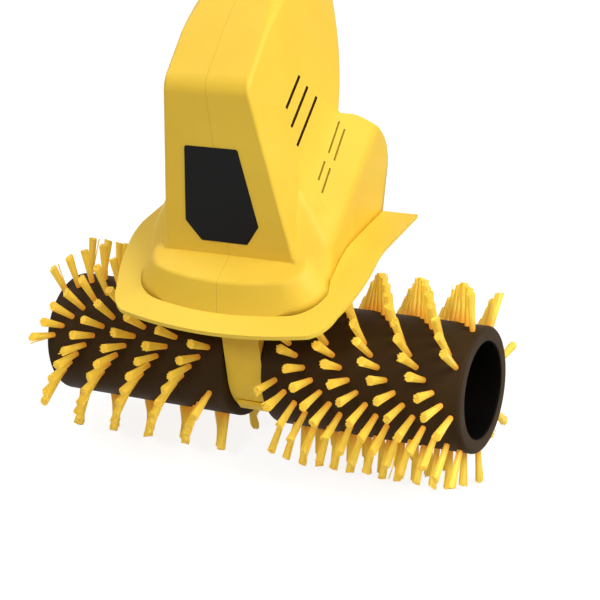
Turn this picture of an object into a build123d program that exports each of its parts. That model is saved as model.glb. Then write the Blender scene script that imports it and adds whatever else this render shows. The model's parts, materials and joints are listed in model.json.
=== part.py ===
from build123d import *
from math import atan2, cos, pi, radians, sin, sqrt, tan
import os

# A powered brush head for artificial turf: two bristle rollers on one axle, a gear leg between them,
# and a hooded housing for the motor with a socket for the handle tube.
# While it is drawn, the origin is the axle's middle, X runs along the rollers, Y points back and Z up.
# Each piece is moved once, when it is written, so that the mouth of the handle socket is the origin.
# Sizes are millimetres.

# Fits
seat_gap = 0.05          # between pieces that stay together
running_gap = 0.05       # radial, between a shaft and its bearing
slot_gap = 0.4           # round the leg where it passes through the guard

# Rollers
brush_width = 350.0      # over both rollers
core_radius = 46.8       # dark skin of a roller
core_bore = 35.8         # radius of the open roller end
skin_depth = 3.0         # skin that the tufts are set in
side_gap = 0.9           # between the leg and each roller
skin_slices = 4

# Tufts
tuft_reach = 30.7        # from the skin to the tip
tuft_root = 3.8
tuft_tip_long = 6.0      # along the roller
tuft_tip_wide = 7.0      # round the roller
tuft_anchor = 1.5        # depth of the root in the skin
row_count = 8            # helical rows on a roller
row_spacing = 33.0       # between rows, along the roller
tufts_per_turn = 36
row_angle_right = 40.9   # degrees from straight back, of the outermost tuft of the first row
row_angle_left = 20.5
slice_turn = 42.5        # degrees from that tuft's place in its step to the first cut between slices
inner_margin = 12.0
outer_margin = 6.4

# Drive hubs and axle
axle_radius = 6.0
axle_half = 110.0
hub_tube = 13.0
inner_web_start = 22.0
inner_web = 8.0
outer_web = 10.0
pin_radius = 2.0
pin_place = 60.0
washer_radius = 11.0
washer_depth = 2.0
end_screw_radius = 3.0
end_screw_head = 5.0
end_screw_head_depth = 6.0
end_screw_length = 20.0

# Gear train
pressure_angle = radians(25.0)
flank_relief = 0.12      # taken off each tooth, for backlash
root_share = 1.25        # depth below the pitch circle, in modules
tip_share = 0.95         # height above it, in modules
drive_module = 1.5
motor_module = 1.0
axle_teeth = 44
idler_teeth = 40
pinion_teeth = 14
reduction_teeth = 60
rotor_teeth = 14
idler_lean = radians(3.0)
counter_lean = radians(25.0)
motor_lean = radians(48.5)
drive_gear_half = 4.5
pinion_half = 5.0
reduction_start = 6.0
reduction_width = 5.0
end_play = 0.5           # between a gear and what stands beside it
shaft_radius = 4.0
bush_wall = 2.0
bush_boss = 8.0

# Leg, which is the gear case
leg_width = 31.0
leg_wall = 2.5
leg_radius = 39.5
leg_front_round = 10.0
leg_front_place = (-27.5, 95.0)
tooth_room = 1.2
bearing_radius = 14.0
bearing_width = 8.0
seal_width = 2.0
bearing_boss_wall = 3.0
clip_width = 23.0
clip_height = 9.0
clip_depth = 3.0
clip_angle = radians(212.0)
case_screw_places = ((-26.0, 94.0), (41.0, 58.0), (-33.0, 40.0))
case_screw_radius = 1.5
case_screw_head = 2.8
case_screw_head_depth = 2.2
case_screw_reach = 9.0
case_boss_wall = 2.4

# Motor
can_radius = 21.0
can_wall = 2.0
can_length = 42.0
end_cap = 4.5
rotor_shaft_radius = 2.5
motor_bush_radius = 6.0
motor_bush_length = 4.5
magnet_depth = 2.9
magnet_length = 30.0
magnet_turn = 120.0      # degrees
air_gap = 0.5
rotor_length = 26.0
rotor_gap = 5.0
commutator_radius = 5.0
commutator_length = 5.0
carbon_width = 4.0
carbon_length = 5.5
fan_radius = 16.0
fan_disc = 1.5
fan_height = 5.0
fan_blades = 9
fan_hub = 4.5
fan_blade = 1.2
fan_gap = 2.0
motor_screw_ring = 13.0
motor_screw_spread = radians(55.0)
motor_screw_radius = 1.4
motor_screw_head = 2.4
motor_screw_head_depth = 1.6
terminal_size = (3.0, 0.8, 4.0)
terminal_ring = 18.5

# Housing
lean = radians(37.1)     # of the handle, above the level
wall = 2.8
front_face = -36.2       # Y of the flat front
front_low = 106.1        # height of the front face's lower edge
front_high = 229.5       # height where the front starts to round over
front_low_half = 54.5
front_high_half = 35.3
front_round = 18.0
tower_edge_round = 3.5
roof_across = 212.0      # top of the tower, square to the handle
tower_foot_across = 60.0
body_end = 156.5         # along the handle, where the motor bulge stops
belly_across = 110.0     # underside of the tower behind the bulge
bulge_half = 74.5
bulge_lean = radians(30.8)
bulge_ridge = 105.9      # top of the upright flanks, square to the bulge's lean
bulge_crest = 150.0      # top of the sloping sides, inside the tower
bulge_pitch = radians(37.5)
bulge_round = 12.0
bulge_flare = 1.66       # outward run of the bulge's front, per length back
bulge_flare_draft = 0.92  # inward run of the same, per height
bulge_heel_round = 28.0
bulge_floor = 20.0
bulge_reach = 4.0        # of the bulge, past the tower's end
bulge_roof_lean = radians(67.0)  # outward way of the bulge's top, above the level
bulge_roof_rise = 1.0    # of the same at the tower's end, over the belly
bulge_roof_round = 22.0
back_foot = 68.0         # Y of the back wall at the guard
back_rake = 0.509
plinth_front = 64.8      # forward of the axle, at the guard
plinth_front_half = 55.0
plinth_sag = 4.8
plinth_side_half = 86.5  # at the height of the plinth's front foot
plinth_side_start = 36.0
plinth_side_lean = radians(35.0)
plinth_draft = tan(radians(15.0))
plinth_edge_round = 4.0
plinth_back = 8.0
ledge_slope = 0.45

# Neck and handle socket
neck_across = 165.0
neck_half = 23.5
neck_round = 19.0
neck_start = 262.0
neck_end = 282.0
shoulder_along = 190.0
shoulder_rise = 6.0      # of the underside, from the bulge's end to the shoulder
shoulder_drop = 3.0      # of the roof, over the same run
shoulder_low_half = 49.0
shoulder_high_half = 33.0
shoulder_round = 10.0
shoulder_foot_round = 5.0
cavity_end = 236.0
socket_bore = 14.1
socket_wall = 3.9
socket_depth = 67.0
socket_floor = 3.0
lead_hole = 5.0
collar_start = 266.0
collar_end = 279.0
collar_wall = 4.0
collar_screw_radius = 2.0
collar_screw_head = 3.5
collar_screw_head_depth = 2.0

# Vent slots, as (start along their lean, end along it, place across it, width)
slot_lean = radians(33.0)
tower_slots = ((112.7, 141.0, 176.5, 2.6), (105.0, 140.3, 164.8, 2.6), (97.9, 140.5, 152.2, 2.6))
bulge_slots = (
    (111.5, 139.3, 124.3, 1.2),
    (108.6, 136.0, 119.6, 1.2),
    (87.8, 103.9, 125.0, 1.2),
    (80.2, 101.3, 120.4, 1.2),
)

# Guard
guard_thick = 3.0
guard_level = 100.0      # middle of the plate, behind the bend
guard_bend = 2.0         # Y of the bend's middle
guard_bend_round = 60.0
guard_slope = 0.42
guard_front = 80.5
guard_front_sag = 8.0
guard_front_half = 77.0
guard_corner = (86.0, -65.5)
guard_side_start = (91.5, -53.0)
guard_side_middle = (99.0, -31.0)
guard_side_half = 102.0
guard_tip_half = 103.0
guard_back = 68.0

# Label
label_thick = 0.6
label_shift = -2.4
label_outline = ((21.4, 190.7), (30.0, 131.6), (18.8, 116.5))
label_round = 2.0

# Housing screws
boss_radius = 5.0
house_screw_places = ((-25.0, 205.0), (30.0, 215.0), (-4.0, 140.0), (62.0, 152.0))
house_screw_radius = 1.75
house_screw_head = 3.4
house_screw_head_depth = 3.0
house_screw_depth = 10.0
house_screw_reach = 14.0
rib_place = (-13.0, 107.0)
rib_size = (4.0, 10.0)
post_bite = 0.5          # of the guard's posts into the side walls
post_places = ((20.0, 20.0), (60.5, 8.0))
guard_screw_radius = 1.9
guard_screw_head = 3.6
guard_screw_head_depth = 2.4
guard_screw_spare = 2.0

# Sizes that follow from those above
brush_half = brush_width / 2
post_half = bulge_half - wall - boss_radius + post_bite
leg_half = leg_width / 2
case_half = leg_half - leg_wall
roller_start = leg_half + side_gap
brush_radius = core_radius + tuft_reach
tuft_step = row_spacing * row_count / tufts_per_turn
outer_web_end = axle_half - washer_depth
reach = 4 * brush_width  # past the whole object, for cutting blocks
standing = (Align.CENTER, Align.CENTER, Align.MIN)
hanging = (Align.CENTER, Align.CENTER, Align.MAX)
boss_inner = bearing_width + seal_width
bush_right = reduction_start + reduction_width + end_play
bush_left = pinion_half + end_play


def pitch_radius(teeth, module):
    return teeth * module / 2


def stepped(centre, distance, angle):
    """Point at a distance from another in (Y, Z), leaning back from straight up by an angle."""
    return (centre[0] + distance * sin(angle), centre[1] + distance * cos(angle))


axle_place = (0.0, 0.0)
idler_distance = pitch_radius(axle_teeth + idler_teeth, drive_module)
idler_place = stepped(axle_place, idler_distance, idler_lean)
counter_distance = pitch_radius(idler_teeth + pinion_teeth, drive_module)
counter_place = stepped(idler_place, counter_distance, counter_lean)
motor_distance = pitch_radius(reduction_teeth + rotor_teeth, motor_module)
motor_place = stepped(counter_place, motor_distance, motor_lean)


def on_lean(along, across, x=0.0):
    """Point given by its distances along the handle and square to it, from the axle."""
    return Vector(x, along * cos(lean) - across * sin(lean), along * sin(lean) + across * cos(lean))


def across_of(y, z):
    return z * cos(lean) - y * sin(lean)


def lean_plane(along):
    """Plane square to the handle, with its own y pointing up and forward across it."""
    return Plane(origin=on_lean(along, 0), x_dir=(-1, 0, 0), z_dir=(0, cos(lean), sin(lean)))


def kept_side(point, normal):
    """Large block on the inner side of a plane that has an outward normal."""
    block = Box(reach, reach, reach, align=hanging)
    return Plane(origin=point, z_dir=normal) * block


def along_x(sketch, start, end):
    """Solid of a sketch drawn in (Y, Z), from one X to another."""
    return extrude(Plane.YZ.offset(start) * sketch, amount=end - start, dir=(1, 0, 0))


def disc(centre, radius):
    return Pos(*centre) * Circle(radius)


def rod(centre, radius, start, end):
    return along_x(disc(centre, radius), start, end)


def ring(centre, outer, inner, start, end):
    return along_x(disc(centre, outer) - disc(centre, inner), start, end)


def screw_x(centre, head_start, head_end, tip, head_radius, shank_radius):
    """Round headed screw along X: the head between two places, then the shank to its tip."""
    head = rod(centre, head_radius, min(head_start, head_end), max(head_start, head_end))
    shank = rod(centre, shank_radius, min(head_end, tip), max(head_end, tip))
    return head + shank


def mirrored(shape):
    return mirror(shape, about=Plane.YZ)


# Gears


def involute(angle):
    return tan(angle) - angle


def gear_outline(centre, teeth, module, phase):
    """Spur gear in (Y, Z): each flank is a straight run from root to pitch circle and on to the tip."""
    pitch = pitch_radius(teeth, module)
    base = pitch * cos(pressure_angle)
    radii = (pitch - root_share * module, pitch, pitch + tip_share * module)
    half_at_pitch = pi / (2 * teeth) - flank_relief / pitch

    def half_angle(radius):
        local = involute(atan2(sqrt(radius**2 - base**2), base)) if radius > base else 0.0
        return half_at_pitch + involute(pressure_angle) - local

    points = []
    for tooth in range(teeth):
        middle = phase + 2 * pi * tooth / teeth
        flank = [(radius, half_angle(radius)) for radius in radii]
        rising = [(radius, middle - half) for radius, half in flank]
        falling = [(radius, middle + half) for radius, half in reversed(flank)]
        points += [(radius * cos(angle), radius * sin(angle)) for radius, angle in rising + falling]
    return Pos(*centre) * Polygon(*points, align=None)


def meshing_phase(phase, teeth, centre, other_teeth, other_centre):
    """Angle of a tooth of the other gear, so that the two are in mesh on their line of centres."""
    line = atan2(other_centre[1] - centre[1], other_centre[0] - centre[0])
    share = ((line - phase) * teeth / (2 * pi)) % 1.0
    return line + pi + (share + 0.5) * 2 * pi / other_teeth


axle_phase = 0.0
idler_phase = meshing_phase(axle_phase, axle_teeth, axle_place, idler_teeth, idler_place)
pinion_phase = meshing_phase(idler_phase, idler_teeth, idler_place, pinion_teeth, counter_place)
reduction_phase = 0.0
rotor_phase = meshing_phase(reduction_phase, reduction_teeth, counter_place, rotor_teeth, motor_place)


def gear(centre, teeth, module, phase, bore, start, end):
    outline = gear_outline(centre, teeth, module, phase) - disc(centre, bore)
    return along_x(outline, start, end)


def tip_radius(teeth, module):
    return pitch_radius(teeth, module) + tip_share * module


# Housing


tower_draft = (front_low_half - front_high_half) / ((front_high - front_low) * cos(lean))


def tower_half(across):
    """Half width of the tower, which narrows towards its roof."""
    return front_low_half - tower_draft * (across - across_of(front_face, front_low))


def section(low, high, low_half, high_half, low_round, high_round):
    """Trapezium across the handle with rounded corners."""
    outline = Polygon((-low_half, low), (low_half, low), (high_half, high), (-high_half, high), align=None)
    outline = fillet(outline.vertices().group_by(Axis.Y)[-1], high_round)
    return fillet(outline.vertices().group_by(Axis.Y)[0], low_round)


def tower(inset):
    """Tower with the flat front, as far back as the bulge's end."""
    high = roof_across - inset
    end = body_end - inset
    foot = tower_foot_across
    low_half = tower_half(foot) - inset
    high_half = tower_half(high) - inset
    outline = Polygon((-low_half, foot), (low_half, foot), (high_half, high), (-high_half, high), align=None)
    prism = extrude(lean_plane(-roof_across) * outline, amount=roof_across + end)
    prism = prism & kept_side((0, front_face + inset, 0), (0, -1, 0))
    front = prism.faces().sort_by(Axis.Y)[0]
    brow = front.edges().sort_by(Axis.Z)[-1]
    prism = fillet(brow, front_round - inset)
    sides = prism.faces().sort_by(Axis.X)
    rims = []
    for edge in sides[0].edges() + sides[-1].edges():
        middle = edge.center()
        on_end = abs(middle.Y * cos(lean) + middle.Z * sin(lean) - end) < wall
        on_foot = abs(across_of(middle.Y, middle.Z) - foot) < wall
        if not on_end and not on_foot:
            rims.append(edge)
    return fillet(rims, tower_edge_round - inset)


def neck(inset):
    """Shoulder that draws the tower in to the round-cornered neck."""
    low = belly_across + inset
    high = roof_across - inset
    low_half = tower_half(low) - inset
    high_half = tower_half(high) - inset
    foot = section(low, high, low_half, high_half, shoulder_foot_round - inset, tower_edge_round - inset)
    low_half = shoulder_low_half - inset
    high_half = shoulder_high_half - inset
    corner = shoulder_round - inset
    shoulder = section(low + shoulder_rise, high - shoulder_drop, low_half, high_half, corner, corner)
    half = neck_half - inset
    corner = neck_round - inset
    mouth = section(neck_across - half, neck_across + half, half, half, corner, corner)
    places = (body_end - 2 * inset, shoulder_along, neck_start if inset == 0 else cavity_end)
    return loft([lean_plane(place) * outline for place, outline in zip(places, (foot, shoulder, mouth))])


def bulge(inset):
    """Motor bulge: flat flanks, sloping sides, a rounded end over a raked back, and flared front corners."""
    half = bulge_half - inset
    ridge = bulge_ridge - inset * tan(bulge_pitch / 2)
    crest = bulge_crest - inset
    crest_half = half - (crest - ridge) * tan(bulge_pitch)
    right = [(half, bulge_floor), (half, ridge), (crest_half, crest)]
    left = [(-x, across) for x, across in reversed(right)]
    outline = Polygon(*right, *left, align=None)
    plane = Plane(origin=(0, 0, 0), x_dir=(-1, 0, 0), z_dir=(0, cos(bulge_lean), sin(bulge_lean)))
    prism = extrude(plane.offset(-brush_width) * outline, amount=2 * brush_width)
    prism = prism & kept_side(on_lean(body_end + bulge_reach - inset, 0), (0, cos(lean), sin(lean)))
    roof_normal = Vector(0, cos(bulge_roof_lean), sin(bulge_roof_lean))
    roof_place = on_lean(body_end, belly_across + bulge_roof_rise)
    prism = prism & kept_side(roof_place - roof_normal * inset, roof_normal)
    back_normal = Vector(0, 1, -back_rake).normalized()
    prism = prism & kept_side(Vector(0, back_foot, guard_level) - back_normal * inset, back_normal)
    brink = prism.edges().filter_by(Axis.X).sort_by(Axis.Y)[-2]
    prism = fillet(brink, bulge_roof_round - inset)
    heel = prism.edges().filter_by(Axis.X).sort_by(Axis.Y)[-1]
    prism = fillet(heel, bulge_heel_round - inset)
    flares = {side: Vector(side, -bulge_flare, bulge_flare_draft).normalized() for side in (1, -1)}
    for side, normal in flares.items():
        corner = Vector(side * front_low_half, front_face, front_low)
        prism = prism & kept_side(corner - normal * inset, normal)
    lengthwise = prism.edges().filter_by(Axis((0, 0, 0), plane.z_dir))
    bends = [edge for edge in lengthwise if abs(edge.center().dot(plane.y_dir) - ridge) < wall]
    for normal in flares.values():
        flare = prism.faces().sort_by(lambda face: face.normal_at().dot(normal))[-1]
        bends += [edge for edge in flare.edges() if abs(edge.center().X) > crest_half]
    prism = fillet(bends, bulge_round - inset)
    return prism & kept_side((0, front_face + inset, 0), (0, -1, 0))


def plinth_outline(inset, rise):
    """Plan of the plinth under the front face, at a height above the guard's front edge."""
    drawn_in = inset + rise * plinth_draft
    front = plinth_front - drawn_in
    side = plinth_side_half - inset / cos(plinth_side_lean) - rise * tan(plinth_side_lean)
    start = (plinth_front_half - drawn_in, front - plinth_sag)
    bow = ThreePointArc((-start[0], -start[1]), (0, -front), (start[0], -start[1]))
    right = TangentArc(bow @ 1, (side, -plinth_side_start), tangent=bow % 1)
    left = mirror(right, about=Plane.YZ)
    far = plinth_side_start
    back = Polyline((side, -far), (side, far), (-side, far), (-side, -far))
    return make_face([bow, right, back, left])


def plinth(inset):
    """Low step in front of the tower: drafted walls under a sloping ledge."""
    base = guard_level - guard_slope * plinth_front
    ledge_high = front_low + ledge_slope * (-plinth_back - front_face)
    heights = (base - 2 * plinth_edge_round, ledge_high + plinth_edge_round)
    sections = [Pos(0, 0, height) * plinth_outline(inset, height - base) for height in heights]
    block = loft(sections, ruled=True) & kept_side((0, -plinth_back, 0), (0, 1, 0))
    ledge_normal = Vector(0, -ledge_slope, 1).normalized()
    block = block & kept_side(Vector(0, front_face, front_low) - ledge_normal * inset, ledge_normal)
    top = block.faces().sort_by(Axis.Z)[-1]
    rim = [edge for edge in top.edges() if edge.center().Y < -plinth_back - plinth_edge_round]
    return fillet(rim, plinth_edge_round - inset)


def guard_profile(offset):
    """Side view of the guard's middle line, moved up or down: level at the back, bent down in front."""
    level = guard_level + offset
    far = 2 * guard_back
    low = level - guard_slope * (far + guard_bend)
    return FilletPolyline((far, level), (guard_bend, level), (-far, low), radius=guard_bend_round + offset)


def above_guard():
    """All the space above the guard's upper face."""
    line = guard_profile(guard_thick / 2)
    start, end = line @ 0, line @ 1
    cover = Polyline(end, (end.X, reach), (start.X, reach), start)
    return along_x(make_face([line, cover]), -brush_width, brush_width)


def body():
    """Outer form of the housing, as one solid, without its neck's straight end."""
    return tower(0) + neck(0) + bulge(0) + plinth(0)


def neck_prism(half, corner, start, end):
    outline = Pos(0, neck_across) * RectangleRounded(2 * half, 2 * half, corner)
    return extrude(lean_plane(start) * outline, amount=end - start)


def neck_rod(radius, start, end):
    return extrude(lean_plane(start) * disc((0, neck_across), radius), amount=end - start)


socket_outer = socket_bore + socket_wall
socket_start = neck_end - socket_depth - socket_floor


def slot(start, end, across, width, side):
    """Cutter for one vent slot through one side wall, along the slots' own lean."""
    block = Box(end - start, width, bulge_half)
    middle = side * (tower_half(roof_across) + bulge_half / 2)
    tilted = Plane(origin=(0, 0, 0), x_dir=(0, cos(slot_lean), sin(slot_lean)), z_dir=(1, 0, 0))
    return tilted * Pos((start + end) / 2, across, middle) * block


def house_bosses():
    """Bosses for the screws that join the two halves, and ribs that hold the gear case."""
    bosses = [rod(place, boss_radius, -bulge_half, bulge_half) for place in house_screw_places]
    rib = Pos(*rib_place) * Rectangle(*rib_size)
    ribs = [along_x(rib, leg_half, bulge_half), along_x(rib, -bulge_half, -leg_half)]
    posts = []
    for y, height in post_places:
        for side in (1, -1):
            post = Cylinder(boss_radius, 2 * height)
            posts.append(Pos(side * post_half, y, guard_level) * post)
    return bosses, ribs, posts


def screw_holes():
    """Holes for the housing screws and the guard screws."""
    holes = []
    for place in house_screw_places:
        holes.append(rod(place, house_screw_head + seat_gap, -brush_half, -house_screw_depth))
        shank = house_screw_radius + seat_gap
        holes.append(rod(place, shank, -house_screw_depth, house_screw_reach + seat_gap))
    for y, height in post_places:
        for side in (1, -1):
            depth = 2 * (height - guard_screw_spare + seat_gap)
            hole = Cylinder(guard_screw_radius + seat_gap, depth)
            holes.append(Pos(side * post_half, y, guard_level) * hole)
    return holes


def housing():
    """Both half shells in one, before they are split at the middle."""
    outer = (body() + neck_prism(neck_half, neck_round, neck_start, neck_end)) & above_guard()
    bosses, ribs, posts = house_bosses()
    shell = outer - [tower(wall), neck(wall), bulge(wall), plinth(wall)]
    shell = shell + [piece & outer for piece in bosses + ribs + posts]
    cutters = screw_holes()
    cutters.append(neck_rod(socket_outer + seat_gap, socket_start, neck_end + wall))
    for side in (1, -1):
        cutters += [slot(*place, side) for place in tower_slots + bulge_slots]
    return shell - cutters


def one_side(shape, side):
    return shape & kept_side((0, 0, 0), (-side, 0, 0))


# Leg


def case_circles(inset):
    gear_room = tip_radius(reduction_teeth, motor_module) + tooth_room + leg_wall
    pinion_room = tip_radius(rotor_teeth, motor_module) + tooth_room + leg_wall
    places = ((axle_place, leg_radius), (leg_front_place, leg_front_round), (counter_place, gear_room))
    places += ((motor_place, pinion_room),)
    return [(centre, radius - inset) for centre, radius in places]


def case_outline(inset):
    """Hull round the gear train, moved in by an inset."""
    circles = [disc(centre, radius) for centre, radius in case_circles(inset)]
    return make_hull([edge for circle in circles for edge in circle.edges()])


def gearcase(side):
    """One half of the leg: a tray with bearing seats, pin bosses and screw bosses."""
    low, high = (0.0, leg_half) if side > 0 else (-leg_half, 0.0)
    half = along_x(case_outline(0), low, high)
    inner_ends = (0.0, case_half) if side > 0 else (-case_half, 0.0)
    half = half - along_x(case_outline(leg_wall), *inner_ends)
    bearing_start = leg_half - boss_inner

    def stud(centre, radius, start):
        ends = sorted((side * start, side * leg_half))
        return rod(centre, radius, *ends)

    bosses = [stud(axle_place, bearing_radius + bearing_boss_wall, bearing_start)]
    bosses.append(stud(idler_place, bush_boss, pinion_half))
    bosses.append(stud(counter_place, bush_boss, bush_right if side > 0 else bush_left))
    bosses += [stud(place, case_screw_radius + case_boss_wall, 0.0) for place in case_screw_places]
    half = half + [boss & along_x(case_outline(0), -leg_half, leg_half) for boss in bosses]
    holes = [rod(axle_place, bearing_radius + seat_gap, -leg_half, leg_half)]
    holes.append(rod(idler_place, shaft_radius + seat_gap, -leg_half, leg_half))
    holes.append(rod(counter_place, shaft_radius + bush_wall + seat_gap, -leg_half, leg_half))
    for place in case_screw_places:
        holes.append(rod(place, case_screw_radius + seat_gap, -leg_half, case_screw_reach + seat_gap))
        holes.append(rod(place, case_screw_head + seat_gap, -leg_half, -leg_half + case_screw_head_depth))
    if side > 0:
        holes.append(rod(motor_place, motor_bush_radius + seat_gap, 0.0, leg_half))
        holes += [rod(place, motor_screw_radius + seat_gap, 0.0, leg_half) for place in motor_screw_centres()]
    return half - holes


def motor_screw_centres():
    """Two screw places beside the line from the motor to the reduction gear."""
    angles = (motor_lean + pi + motor_screw_spread, motor_lean + pi - motor_screw_spread)
    return [stepped(motor_place, motor_screw_ring, angle) for angle in angles]


def leg_clip():
    """Block that grips the seam at the lower front of the leg."""
    plane = Plane(origin=(0, 0, 0), x_dir=(1, 0, 0), z_dir=(0, cos(clip_angle), sin(clip_angle)))
    block = Box(clip_width, clip_height, leg_radius + clip_depth, align=standing)
    return plane * block - rod(axle_place, leg_radius + seat_gap, -leg_width, leg_width)


# Guard and label


def guard():
    """Hood plate: its plan is cut from a bent sheet, with a slot for the leg and holes for screws."""
    half = guard_thick / 2
    upper = guard_profile(half)
    lower = guard_profile(-half)
    ends = [Line(upper @ 0, lower @ 0), Line(upper @ 1, lower @ 1)]
    sheet = along_x(make_face([upper, lower, *ends]), -brush_half, brush_half)
    start = guard_front - guard_front_sag
    bow = ThreePointArc((-guard_front_half, -start), (0, -guard_front), (guard_front_half, -start))
    corner = ThreePointArc(bow @ 1, guard_corner, guard_side_start)
    flank = ThreePointArc(corner @ 1, guard_side_middle, (guard_side_half, 0))
    tip = (guard_tip_half, guard_back)
    back = Polyline(flank @ 1, tip, (-tip[0], tip[1]), (-guard_side_half, 0))
    other_flank = mirror(flank, about=Plane.YZ)
    other_corner = mirror(corner, about=Plane.YZ)
    plan = make_face([bow, corner, flank, back, other_flank, other_corner])
    plate = sheet & extrude(plan, amount=2 * guard_level)
    plate = plate - along_x(case_outline(-slot_gap), -leg_half - slot_gap, leg_half + slot_gap)
    hole = Cylinder(guard_screw_radius + seat_gap, 2 * guard_thick)
    places = [(side * post_half, y) for y, height in post_places for side in (1, -1)]
    return plate - [Pos(x, y, guard_level) * hole for x, y in places]


def guard_screws():
    screws = []
    for y, height in post_places:
        low = guard_level - guard_thick / 2
        tip = guard_level + height - guard_screw_spare
        for side in (1, -1):
            head = Cylinder(guard_screw_head, guard_screw_head_depth, align=hanging)
            shank = Cylinder(guard_screw_radius, tip - low, align=standing)
            screws.append(Pos(side * post_half, y, low) * (head + shank))
    return Compound(screws)


def label_plate():
    """Bare plate on the front face: a six-cornered panel that narrows towards the top."""
    right = [(label_shift + half, height) for half, height in label_outline]
    left = [(label_shift - half, height) for half, height in reversed(label_outline)]
    outline = Polygon(*right, *left, align=None)
    outline = fillet(outline.vertices(), label_round)
    plane = Plane(origin=(0, front_face, 0), x_dir=(1, 0, 0), z_dir=(0, -1, 0))
    return extrude(plane * outline, amount=label_thick, dir=(0, -1, 0))


# Rollers


def ring_sector(outer, inner, start, span):
    """Part of a flat ring in (Y, Z), between two angles in degrees."""
    far = CenterArc((0, 0), outer, start, span)
    near = CenterArc((0, 0), inner, start, span)
    return make_face([far, Line(far @ 1, near @ 1), near, Line(near @ 0, far @ 0)])


def roller_core():
    return ring(axle_place, core_radius - skin_depth - seat_gap, core_bore, roller_start, brush_half)


def row_angle(side):
    return row_angle_right if side > 0 else row_angle_left


def tuft_places(side):
    """Each tuft's place along one roller and its angle: helical rows that move out going down the front."""
    room = brush_half - outer_margin - roller_start - inner_margin
    for row in range(row_count):
        for number in range(int(room / tuft_step) + 1):
            place = side * (brush_half - outer_margin - number * tuft_step)
            angle = row_angle(side) + 360.0 * row / row_count - 360.0 * number / tufts_per_turn
            yield place, angle % 360.0


def tuft(x, angle):
    """Four-sided strand that stands square on the roller and widens to its tip."""
    direction = Vector(0, cos(radians(angle)), sin(radians(angle)))
    ends = ((core_radius - tuft_anchor, tuft_root, tuft_root), (brush_radius, tuft_tip_long, tuft_tip_wide))
    sections = []
    for radius, length, width in ends:
        plane = Plane(origin=Vector(x, 0, 0) + direction * radius, x_dir=(1, 0, 0), z_dir=direction)
        sections.append(plane * Rectangle(length, width))
    return loft(sections, ruled=True)


def bristle_slice(side, number):
    """Quarter of one roller's skin with its tufts, cut midway between two angles of tufts."""
    span = 360.0 / skin_slices
    tuft_turn = 180.0 / tufts_per_turn
    start = row_angle(side) % tuft_turn + slice_turn + number * span
    ends = sorted((side * roller_start, side * brush_half))
    skin = along_x(ring_sector(core_radius, core_radius - skin_depth, start, span), *ends)
    tufts = [tuft(x, angle) for x, angle in tuft_places(side) if (angle - start) % 360.0 < span]
    return skin + tufts


def drive_hub():
    """Spool that carries the right roller: two webs on a tube round the axle."""
    outer = core_bore - seat_gap
    spool = rod(axle_place, hub_tube, inner_web_start, outer_web_end)
    spool = spool + rod(axle_place, outer, inner_web_start, inner_web_start + inner_web)
    spool = spool + rod(axle_place, outer, outer_web_end - outer_web, outer_web_end)
    spool = spool - rod(axle_place, axle_radius + seat_gap, 0, brush_half)
    return spool - Pos(pin_place, 0, 0) * Cylinder(pin_radius + seat_gap, 2 * core_bore)


def drive_pins():
    pin = Pos(pin_place, 0, 0) * Cylinder(pin_radius, 2 * hub_tube)
    return Compound([pin, mirrored(pin)])


def axle():
    bar = rod(axle_place, axle_radius, -axle_half, axle_half)
    for side in (1, -1):
        bar = bar - Pos(side * pin_place, 0, 0) * Cylinder(pin_radius + seat_gap, 4 * axle_radius)
        ends = sorted((side * axle_half, side * (axle_half - end_screw_length - seat_gap)))
        bar = bar - rod(axle_place, end_screw_radius + seat_gap, *ends)
    return bar


def end_washers():
    washer = ring(axle_place, washer_radius, end_screw_radius + seat_gap, axle_half, axle_half + washer_depth)
    return Compound([washer, mirrored(washer)])


def end_screws():
    face = axle_half + washer_depth
    tip = axle_half - end_screw_length
    bolt = screw_x(axle_place, face + end_screw_head_depth, face, tip, end_screw_head, end_screw_radius)
    return Compound([bolt, mirrored(bolt)])


# Motor


can_start = leg_half
can_end = can_start + can_length
cap_end = can_end + end_cap
rotor_start = can_start + can_wall + rotor_gap
commutator_start = rotor_start + rotor_length + air_gap
fan_start = cap_end + fan_gap
shaft_end = fan_start + fan_height


def motor_can():
    cup = rod(motor_place, can_radius, can_start, can_end)
    cup = cup - rod(motor_place, can_radius - can_wall, can_start + can_wall, can_end)
    cup = cup - rod(motor_place, motor_bush_radius + seat_gap, can_start, can_end)
    hole = motor_screw_radius + seat_gap
    return cup - [rod(place, hole, can_start, can_start + can_wall) for place in motor_screw_centres()]


def motor_bush(start):
    bore = rotor_shaft_radius + running_gap
    return ring(motor_place, motor_bush_radius, bore, start, start + motor_bush_length)


def motor_magnets():
    outer = can_radius - can_wall - seat_gap
    start = rotor_start + (rotor_length - magnet_length) / 2
    magnets = []
    for turn in (90.0, 270.0):
        arc = ring_sector(outer, outer - magnet_depth, turn - magnet_turn / 2, magnet_turn)
        magnets.append(along_x(Pos(*motor_place) * arc, start, start + magnet_length))
    return Compound(magnets)


def motor_end_cap():
    cap = rod(motor_place, can_radius, can_end, cap_end)
    return cap - rod(motor_place, motor_bush_radius + seat_gap, can_end, cap_end)


def motor_brushes():
    blocks = []
    for side in (1, -1):
        middle = commutator_radius + air_gap + carbon_length / 2
        outline = Pos(motor_place[0] + side * middle, motor_place[1]) * Rectangle(carbon_length, carbon_width)
        blocks.append(along_x(outline, commutator_start + air_gap, can_end))
    return Compound(blocks)


def motor_terminals():
    tabs = []
    for side in (1, -1):
        place = (motor_place[0] + side * terminal_ring, motor_place[1] - terminal_size[2])
        outline = Pos(*place) * Rectangle(terminal_size[1], terminal_size[2])
        tabs.append(along_x(outline, cap_end, cap_end + terminal_size[0]))
    return Compound(tabs)


def motor_screws():
    head_end = case_half
    head_start = head_end - motor_screw_head_depth
    tip = can_start + can_wall
    radii = (motor_screw_head, motor_screw_radius)
    return Compound([screw_x(place, head_start, head_end, tip, *radii) for place in motor_screw_centres()])


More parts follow.
